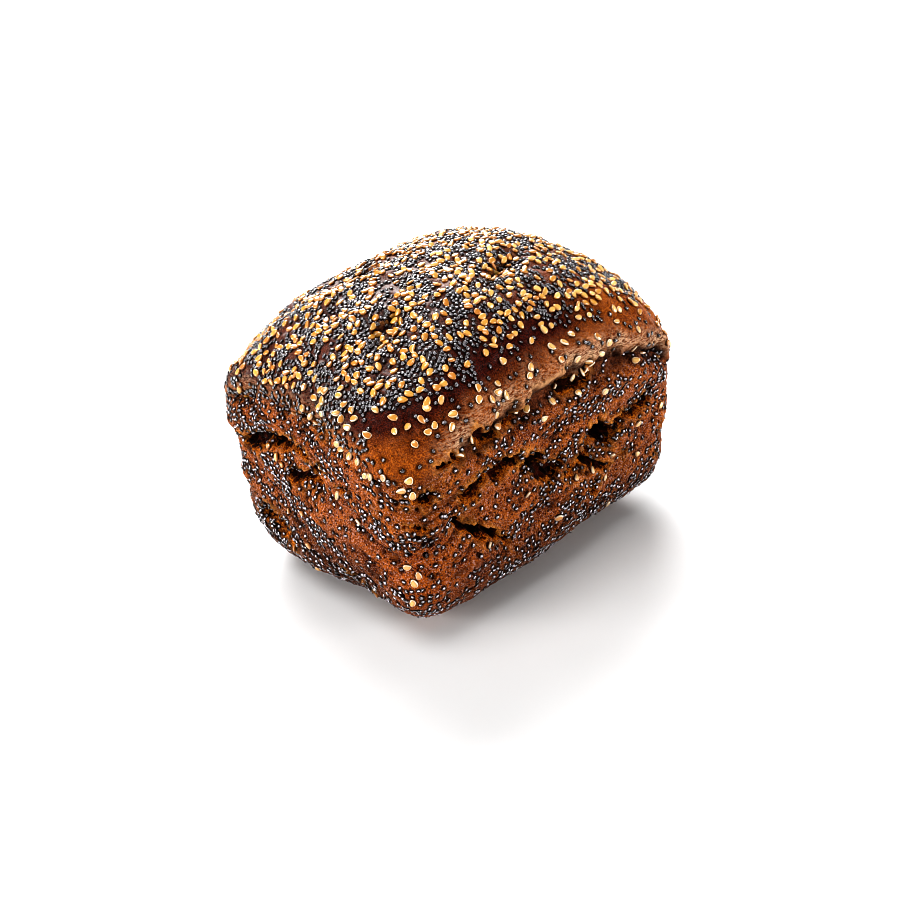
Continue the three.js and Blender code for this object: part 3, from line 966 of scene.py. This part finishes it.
@dataclass
class SeedKind:
    """How one kind of seed lies on the crust, in millimetres and shares."""

    size: tuple  # length, width and thickness
    room: float  # half the least distance between two
    # The seat's reach is also that of the painted contact shadow round the seed.
    seat: float  # how far from its middle the crust is sunk
    spread: float  # share by which sizes vary
    lift: float  # height above the crust
    lean: float  # share by which it leans at random
    drawn: float = 0  # share by which it follows the drawn dough
    raised: float = 0  # share by which it is turned up
    bend: float = 0  # how far its ends are bent sideways


SESAME = SeedKind((2.75, 2.0, 1.2), 0.93, 1.05, 0.14, 0.2, 0.18, bend=0.8)
CHIA = SeedKind((1.55, 1.3, 0.95), 0.54, 0.7, 0.12, -0.05, 0.22)
BAKED = SeedKind((1.75, 1.25, 0.9), 0.64, 0.8, 0.15, -0.3, 0.25, drawn=2, raised=0.15)

# Rings of the dark seeds as reach and height, as shares of the size, and the top's height
CHIA_RINGS = [(0.5, 0.46), (0.86, 0.3), (1.0, 0.0)]
CHIA_TOP = 0.36
BAKED_RINGS = [(0.66, 0.36), (1.0, 0.0)]
BAKED_TOP = 0.46

# Where the groove of the near long side holds seeds, along it and above the crease
SEEDED_GROOVE_ALONG = (-2.0, 15.0)
SEEDED_GROOVE_BAND = (-3.0, 3.5)


def near_shoulder(crust):
    """Where the sesame seeds are the pale-rimmed ones, low on the crown near the corner at the front."""
    beyond = np.where(crust.on_end, crust.smooth[:, 1] + 5, crust.smooth[:, 0] - 40)
    near = crust.on_end | crust.on_long
    return near * ramp(crust.above, 18, 9) * ramp(beyond, 15, -15)


def sesame_density(crust):
    """Sesame seeds for each square millimetre of crust."""
    p = crust.smooth
    on_crown = ramp(crust.band + SESAME_BORDER.at(p), 0.6, 1.35)
    least, extra = 0.093, 0.137
    patches = least + extra * ramp(SESAME_PATCHES.at(p), -0.4, 0.4)
    on_shoulder, on_lip, on_wall, in_groove = 0.014, 0.02, 0.0018, 0.07
    sparse = np.where(crust.above > 3, on_shoulder, np.where(crust.above > -3, on_lip, on_wall))
    groove = bell_at(p[:, 0], SEEDED_GROOVE_ALONG) * bell_at(crust.above, SEEDED_GROOVE_BAND)
    sparse = sparse + in_groove * (groove * crust.on_long)
    patches *= 1 - 0.36 * ramp(p[:, 0], 10, -30)
    density = np.maximum(on_crown * patches, sparse) * (crust.level > 0.45)
    return density * (1 - 0.9 * ramp(crust.hollow, 0.1, 0.4))


def chia_density(crust):
    """Dark seeds on the crown, which lie in clusters."""
    p = crust.smooth
    on_crown = ramp(crust.band + CHIA_BORDER.at(p), 0.6, 1.7) ** 2
    least, extra, on_shoulder, by_end_lip = 0.2, 2.6, 0.045, 0.45
    clusters = least + extra * ramp(CHIA_CLUSTERS.at(p), -0.5, 0.1)
    beside = by_end_lip * bell_at(crust.above, (2, 4)) * crust.on_end
    bare = 1 - 0.8 * ramp(crust.corner, 0.1, 0.4)
    density = np.maximum(on_crown * clusters, on_shoulder + beside) * bare * (crust.above > 0)
    return density * (1 - 0.9 * ramp(crust.hollow, 0.1, 0.4))


def baked_density(crust):
    """Dark seeds baked into the walls, thicker low down and on the end walls."""
    p = crust.smooth
    least, extra, by_end_lip = 0.04, 0.6, 0.15
    streaks = least + extra * ramp(BAKED_STREAKS.at(crust.flow), -0.05, 0.7)
    low_down, less_on_end = 0.22, 0.14
    low = low_down - less_on_end * crust.by_end
    low = low * ramp(p[:, 2] + BAKED_BORDER.at(p), 26, 8)
    end_wall = 1 + 0.9 * ramp(abs(crust.u), 0.8, 1)
    corner = crust.near_corner(0.3) * ramp(p[:, 2], 0, 35)
    beside = by_end_lip * bell_at(crust.above, (-2, 4)) * crust.on_end
    density = (streaks + low) * end_wall * (1 - 0.8 * corner) + beside
    density *= 1 - 0.6 * ramp(crust.torn, 0.3, 0.6) * crust.on_long
    density *= (crust.above < 0) * ramp(crust.level, 0.3, 0.75)
    return density * (1 - 0.96 * ramp(crust.hollow, 0.05, 0.3))


class Scatter:
    """Places that are taken, so that seeds keep their distance. A cell is wider than two seeds' room."""

    def __init__(self, cell):
        self.cell = cell
        self.taken = {}

    def key(self, point):
        return tuple(int(math.floor(c / self.cell)) for c in point)

    def room(self, point, radius):
        i, j, k = self.key(point)
        for di, dj, dk in np.ndindex(3, 3, 3):
            for other, reach in self.taken.get((i + di - 1, j + dj - 1, k + dk - 1), ()):
                if math.dist(other, point) < radius + reach:
                    return False
        return True

    def take(self, point, radius):
        self.taken.setdefault(self.key(point), []).append((point, radius))


def scatter(rng, crust, density, area, radius, taken):
    """Vertices where seeds go, by chance, at the given density as far as there is room."""
    candidates = np.flatnonzero(rng.random(len(area)) < density * area)
    chosen = []
    for index in rng.permutation(candidates):
        point = tuple(crust.points[index])
        if taken.room(point, radius):
            taken.take(point, radius)
            chosen.append(index)
    return np.array(chosen)


# Sesame seed: points round it, rings along it, and how blunt its tip and its round end are
SESAME_SIDES = 12
SESAME_RINGS = 7
TIP_POWER = 0.66
END_POWER = 0.45


def sesame_point(t, half, s):
    """One point of the ring at t along the seed, with its rim mask and its mask for the painted underside
    shade.
    """
    angle = 2 * math.pi * s / SESAME_SIDES
    wide = math.cos(angle)
    thick = math.copysign(abs(math.sin(angle)) ** 0.7, math.sin(angle))
    rim = max(abs(wide), abs(2 * t - 1) ** 2)
    thick *= 0.8 + 0.2 * ramp(rim, 0.4, 0.85)
    return (t - 0.5, 0.5 * half * wide, 0.5 * half ** 0.6 * thick), rim, float(thick < -0.1)


def sesame_shape():
    """A flattened teardrop, its tip at -X, with a raised rim, as points, faces and each point's masks."""
    widest = TIP_POWER / (TIP_POWER + END_POWER)
    peak = widest ** TIP_POWER * (1 - widest) ** END_POWER
    rows = [((-0.5, 0, 0), 1.0, 0.5)]
    for k in range(1, SESAME_RINGS):
        t = (1 - math.cos(math.pi * k / SESAME_RINGS)) / 2
        half = t ** TIP_POWER * (1 - t) ** END_POWER / peak
        rows += [sesame_point(t, half, s) for s in range(SESAME_SIDES)]
    rows.append(((0.5, 0, 0), 1.0, 0.5))
    points, edge, underside_shade = (np.array(column) for column in zip(*rows))
    faces = []
    last = 1 + (SESAME_RINGS - 2) * SESAME_SIDES
    for s in range(SESAME_SIDES):
        after = (s + 1) % SESAME_SIDES
        faces.append((0, 1 + after, 1 + s))
        for k in range(SESAME_RINGS - 2):
            a = 1 + k * SESAME_SIDES + s
            b = 1 + k * SESAME_SIDES + after
            faces.append((a, b, b + SESAME_SIDES, a + SESAME_SIDES))
        faces.append((len(points) - 1, last + s, last + after))
    return points, faces, {"edge": edge, "underside_shade": underside_shade}


# Dark seed: points round it, and how grey its dimple and its sides are beside the highest ring, in the
# mask of its pale cap, which is partly painted highlight
ROUND_SIDES = 8
DIMPLE_GREY = 0.4
SIDE_GREY = 0.34


def round_seed(rings, top):
    """A plump oval with a flat foot, from its rings' reach and height and its top's height."""
    points = [(0, 0, top)]
    first_height = rings[0][1]
    highest = max(top, first_height)
    cap_highlight = [1.0 if top == highest else DIMPLE_GREY]
    for reach, height in rings:
        cap_highlight += [1.0 if height == highest else SIDE_GREY * height / first_height] * ROUND_SIDES
        for s in range(ROUND_SIDES):
            angle = 2 * math.pi * (s + 0.5) / ROUND_SIDES
            points.append((0.5 * reach * math.cos(angle), 0.5 * reach * math.sin(angle), height))
    faces = []
    for s in range(ROUND_SIDES):
        after = (s + 1) % ROUND_SIDES
        faces.append((0, 1 + s, 1 + after))
        for k in range(len(rings) - 1):
            a = 1 + k * ROUND_SIDES + s
            b = 1 + k * ROUND_SIDES + after
            faces.append((a, a + ROUND_SIDES, b + ROUND_SIDES, b))
    last = 1 + (len(rings) - 1) * ROUND_SIDES
    faces.append(tuple(last + s for s in reversed(range(ROUND_SIDES))))
    return np.array(points), faces, {"cap_highlight": np.array(cap_highlight)}


def seed_frames(rng, kind, normals):
    """Three directions for each seed: its length, its width, and up from the crust."""
    up = normals + kind.lean * rng.normal(size=normals.shape) + (0, 0, kind.raised)
    up /= np.linalg.norm(up, axis=1)[:, None]
    level = np.cross((0, 0, 1), normals)
    level *= np.where(level[:, :1] + level[:, 1:2] < 0, -1, 1)
    guess = kind.drawn * (level + (0, 0, FLOW_SLOPE)) + rng.normal(size=normals.shape)
    width = np.cross(up, guess)
    width /= np.linalg.norm(width, axis=1)[:, None]
    return np.cross(width, up), width, up


def make_seeds(rng, name, kind, shape, material, places, normals, lightest=1, **seed_masks):
    """Joined copies of one seed shape, each turned and sized a little differently."""
    points, faces, masks = shape
    count = len(places)
    length, width, up = seed_frames(rng, kind, normals)
    scale = np.array(kind.size) * (1 + kind.spread * rng.uniform(-1, 1, (count, 3)))
    base = places + up * (kind.lift * (1 + 0.5 * rng.uniform(-1, 1, count)))[:, None]
    local = points[None] * scale[:, None]
    local[..., 1] += kind.bend * rng.normal(size=(count, 1)) * (points[:, 0] ** 2 - 0.1)
    world = base[:, None] + local[..., :1] * length[:, None] + local[..., 1:2] * width[:, None]
    world = world + local[..., 2:] * up[:, None]
    step = len(points)
    joined = [tuple(i + k * step for i in face) for k in range(count) for face in faces]
    thing = mesh_object(name, world.reshape(-1, 3), joined, material)
    add_attribute(thing, "tone", np.repeat(lightest * rng.random(count), step))
    for key, values in seed_masks.items():
        add_attribute(thing, key, np.repeat(values, step))
    for key, values in masks.items():
        add_attribute(thing, key, np.tile(values, count))
    return thing


# The crust is sunk this far round each seed, fading out over this distance, which also fades its painted
# contact shadow
SEAT_DEPTH = 0.3
SEAT_FADE = 0.3


def seat_seeds(thing, crust, normals, seats):
    """Sinks the crust a little round each seed in it, and marks it for a painted contact shadow there."""
    seat = np.zeros(len(crust.points))
    for places, reach in seats:
        tree = KDTree(len(places))
        for k, place in enumerate(places.tolist()):
            tree.insert(place, k)
        tree.balance()
        away = np.array([tree.find(p)[2] for p in crust.points.tolist()])
        seat = np.maximum(seat, bell(np.maximum(away - reach, 0) / SEAT_FADE))
    seat *= ramp(crust.level, 0.1, 0.3)
    crust.points -= normals * (SEAT_DEPTH * seat)[:, None]
    thing.data.vertices.foreach_set("co", (crust.points * MM).astype(np.float32).ravel())
    thing.data.update()
    add_attribute(thing, "seat", seat)


RANDOM_SEED = 860
SCATTER_CELL = 2.4


def make_toppings(crust_piece, crust):
    rng = np.random.default_rng(RANDOM_SEED)
    normals = vertex_normals(crust_piece)
    area = vertex_areas(crust_piece, len(crust.points))
    taken = Scatter(SCATTER_CELL)
    kinds = ((SESAME, sesame_density), (CHIA, chia_density), (BAKED, baked_density))
    chosen = [scatter(rng, crust, density(crust), area, kind.room, taken) for kind, density in kinds]
    places = [crust.points[at] for at in chosen]
    turned = [normals[at] for at in chosen]
    seat_seeds(crust_piece, crust, normals, zip(places, (kind.seat for kind, _ in kinds)))

    # Sesame painted darker towards the left end, as shade.
    lightest = 1 - 0.75 * ramp(places[0][:, 0], 10, -35)
    sesame = make_seeds(rng, "sesame_seeds", SESAME, sesame_shape(), sesame_material(),
                        places[0], turned[0], lightest, pale=near_shoulder(crust)[chosen[0]])
    chia = make_seeds(rng, "chia_seeds", CHIA, round_seed(CHIA_RINGS, CHIA_TOP),
                      dark_seed_material("chia", STREWN_BLACKS, 0.19, 0.24), places[1], turned[1])
    baked = make_seeds(rng, "baked_seeds", BAKED, round_seed(BAKED_RINGS, BAKED_TOP),
                       dark_seed_material("baked", BAKED_BLACKS, 0.24, 1.0), places[2], turned[2])
    return sesame, chia, baked


FLOOR_SIZE = 40


def make_floor():
    bpy.ops.mesh.primitive_plane_add(size=FLOOR_SIZE, location=(0, 0, 0))
    floor = bpy.context.object
    floor.name = "floor"
    floor.data.materials.append(floor_material())


# Soft lights: name, where it comes from, strength, and how many degrees wide it is
LIGHTS = [
    ("back", (0.42, 0.65, 0.62), 3.35, 46),
    ("top", (-0.34, 0.0, 0.94), 1.15, 34),
    ("right", (0.5, -0.85, 0.14), 2.3, 32),
    ("left", (-0.9, 0.4, 0.17), 3.3, 32),
]
SURROUND_STRENGTH = 0.2


def soft_sun(name, towards, strength, spread):
    """A broad soft light from one direction, as bright all over the floor."""
    data = bpy.data.lights.new(name, "SUN")
    data.energy = strength
    data.angle = math.radians(spread)
    light = add_object(name, data)
    light.rotation_euler = Vector(towards).to_track_quat("Z", "Y").to_euler()


def make_lights():
    for light in LIGHTS:
        soft_sun(*light)
    world = bpy.data.worlds.new("studio")
    world.use_nodes = True
    surround = world.node_tree.nodes["Background"]
    surround.inputs["Color"].default_value = (1, 1, 1, 1)
    surround.inputs["Strength"].default_value = SURROUND_STRENGTH
    bpy.context.scene.world = world


# Camera: the loaf leans to the left by the roll, as in the photograph
CAMERA_AZIMUTH = -40.5
CAMERA_ELEVATION = 29.1
CAMERA_ROLL = -5.4
CAMERA_DISTANCE = 0.370
CAMERA_AIM = (0, 0, 0.045)
AIM_SHIFT = (-0.0017, -0.0117)
NEAREST_SEEN = 0.01
PIXELS_PER_MM = 2.876
PHOTO_PIXELS = 900
SENSOR_MM = 36.0


def make_camera():
    azimuth = math.radians(CAMERA_AZIMUTH)
    elevation = math.radians(CAMERA_ELEVATION)
    roll = math.radians(CAMERA_ROLL)
    flat = math.cos(elevation)
    back = Vector((math.sin(azimuth) * flat, -math.cos(azimuth) * flat, math.sin(elevation)))
    level = Vector((math.cos(azimuth), math.sin(azimuth), 0))
    rise = back.cross(level)
    right = math.cos(roll) * level + math.sin(roll) * rise
    up = math.cos(roll) * rise - math.sin(roll) * level
    aim = Vector(CAMERA_AIM) + AIM_SHIFT[0] * right + AIM_SHIFT[1] * up
    data = bpy.data.cameras.new("camera")
    data.sensor_width = SENSOR_MM
    data.lens = SENSOR_MM * PIXELS_PER_MM * CAMERA_DISTANCE / MM / PHOTO_PIXELS
    data.clip_start = NEAREST_SEEN
    camera = add_object("camera", data)
    turn = Matrix((right, up, back)).transposed().to_4x4()
    camera.matrix_world = Matrix.Translation(aim + CAMERA_DISTANCE * back) @ turn
    bpy.context.scene.camera = camera


def set_view():
    """Plain colours with strong contrast, and pixels sharp enough for the small seeds."""
    scene = bpy.context.scene
    scene.view_settings.view_transform = "Standard"
    scene.view_settings.look = "High Contrast"
    scene.cycles.filter_width = 0.7


make_camera()
make_lights()
make_floor()
set_view()

crust_piece, crust = make_crust()
sesame, chia, baked = make_toppings(crust_piece, crust)
slots = ((crust_piece, "crust"), (sesame, "sesame"), (chia, "chia"), (baked, "chia"))
for piece, slot in slots:
    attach(piece, "root")
    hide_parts("loaf")
